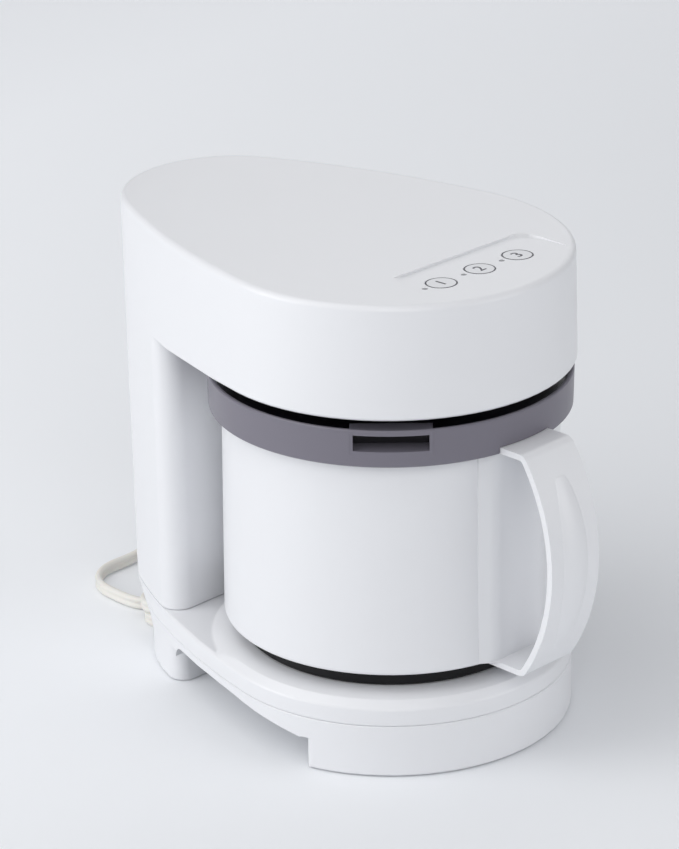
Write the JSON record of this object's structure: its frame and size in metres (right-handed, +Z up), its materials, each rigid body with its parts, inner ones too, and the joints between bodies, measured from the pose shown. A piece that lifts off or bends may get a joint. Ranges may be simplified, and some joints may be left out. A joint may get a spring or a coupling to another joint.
{
  "type": "jug soup maker",
  "caption": "Countertop soup maker: an egg-shaped head on a rear column drives a cutter in a lidded jug that draws out forward by its handle.",
  "frame": {"origin": "on the table, in the middle of the length and width of the appliance without its cord", "axes": "+Z up, -Y towards the user and the handle, +X to the user's right"},
  "size_m": [0.1819, 0.3116, 0.2255],
  "materials": {
    "housing_white": "gloss white moulded plastic",
    "inner_white": "plain white moulded plastic",
    "button_white": "satin white plastic",
    "light_grey_lens": "smoked grey plastic lens",
    "ring_grey": "satin warm grey plastic",
    "black_plastic": "black plastic",
    "fan_grey": "dark grey plastic",
    "rubber_grey": "soft grey rubber",
    "rubber_black": "black rubber",
    "steel": "brushed stainless steel",
    "zinc_steel": "zinc-plated steel",
    "plate_dark": "dark coated aluminium",
    "copper": "enamelled copper windings on a steel core",
    "bronze": "sintered bronze",
    "brass": "bare brass",
    "board_green": "green circuit board",
    "ceramic": "cream ceramic",
    "cord_cream": "soft cream vinyl",
    "tie_cream": "plastic-covered wire",
    "polymer_bush": "filled polymer"
  },
  "bodies": {
    "housing": {"housing_shell": "housing_white", "head_underside": "inner_white", "indicator_lights": "light_grey_lens", "control_board": "board_green", "motor_plate": "zinc_steel", "motor_can": "zinc_steel", "motor_bearings": "bronze", "motor_screws": "zinc_steel", "power_board": "board_green", "board_screws": "zinc_steel", "base_cover": "housing_white", "base_pan": "housing_white", "foot_pads": "rubber_grey", "base_screws": "zinc_steel", "hot_plate": "plate_dark", "plate_gasket": "rubber_black", "heating_element": "zinc_steel", "thermostat": "ceramic", "thermal_fuse": "ceramic", "cord_gland": "cord_cream", "cord": "cord_cream", "cord_hank": "cord_cream", "cord_tail": "cord_cream", "cord_tie": "tie_cream", "plug_body": "cord_cream", "plug_blades": "brass"},
    "rotor": {"motor_shaft": "steel", "rotor_core": "copper", "cooling_fan": "fan_grey", "driver_hub": "black_plastic"},
    "jug": {"jug_shell": "housing_white", "inner_pot": "steel", "jug_foot": "black_plastic", "handle": "housing_white", "handle_screws": "zinc_steel", "lid_ring": "ring_grey", "lid_plate": "black_plastic", "lid_seal": "rubber_grey", "shaft_tube": "steel", "shaft_bushes": "polymer_bush"},
    "cutter": {"cutter_shaft": "steel", "cutter_blade": "steel", "cutter_nut": "steel", "drive_tongue": "black_plastic"},
    "left_key": {"button_left": "button_white"},
    "middle_key": {"button_middle": "button_white"},
    "right_key": {"button_right": "button_white"}
  },
  "joints": [
    {"name": "jug_draw", "type": "slide", "parent": "housing", "child": "jug", "axis": [0, -1, 0], "range_m": [0, 0.19]},
    {"name": "motor_spin", "type": "hinge", "parent": "housing", "child": "rotor", "pos_m": [0, -0.01965, 0.19], "axis": [0, 0, 1], "continuous": true},
    {"name": "cutter_spin", "type": "hinge", "parent": "jug", "child": "cutter", "pos_m": [0, -0.01965, 0.1], "axis": [0, 0, 1], "continuous": true},
    {"name": "press_left", "type": "slide", "parent": "housing", "child": "left_key", "axis": [0, -0.0253, -0.9997], "range_m": [0, 0.0008], "stiffness_N_per_m": 900},
    {"name": "press_middle", "type": "slide", "parent": "housing", "child": "middle_key", "axis": [0, -0.0253, -0.9997], "range_m": [0, 0.0008], "stiffness_N_per_m": 900},
    {"name": "press_right", "type": "slide", "parent": "housing", "child": "right_key", "axis": [0, -0.0253, -0.9997], "range_m": [0, 0.0008], "stiffness_N_per_m": 900}
  ],
  "couplings": [
    {"joint": "cutter_spin", "follows": "motor_spin", "ratio": 1}
  ]
}
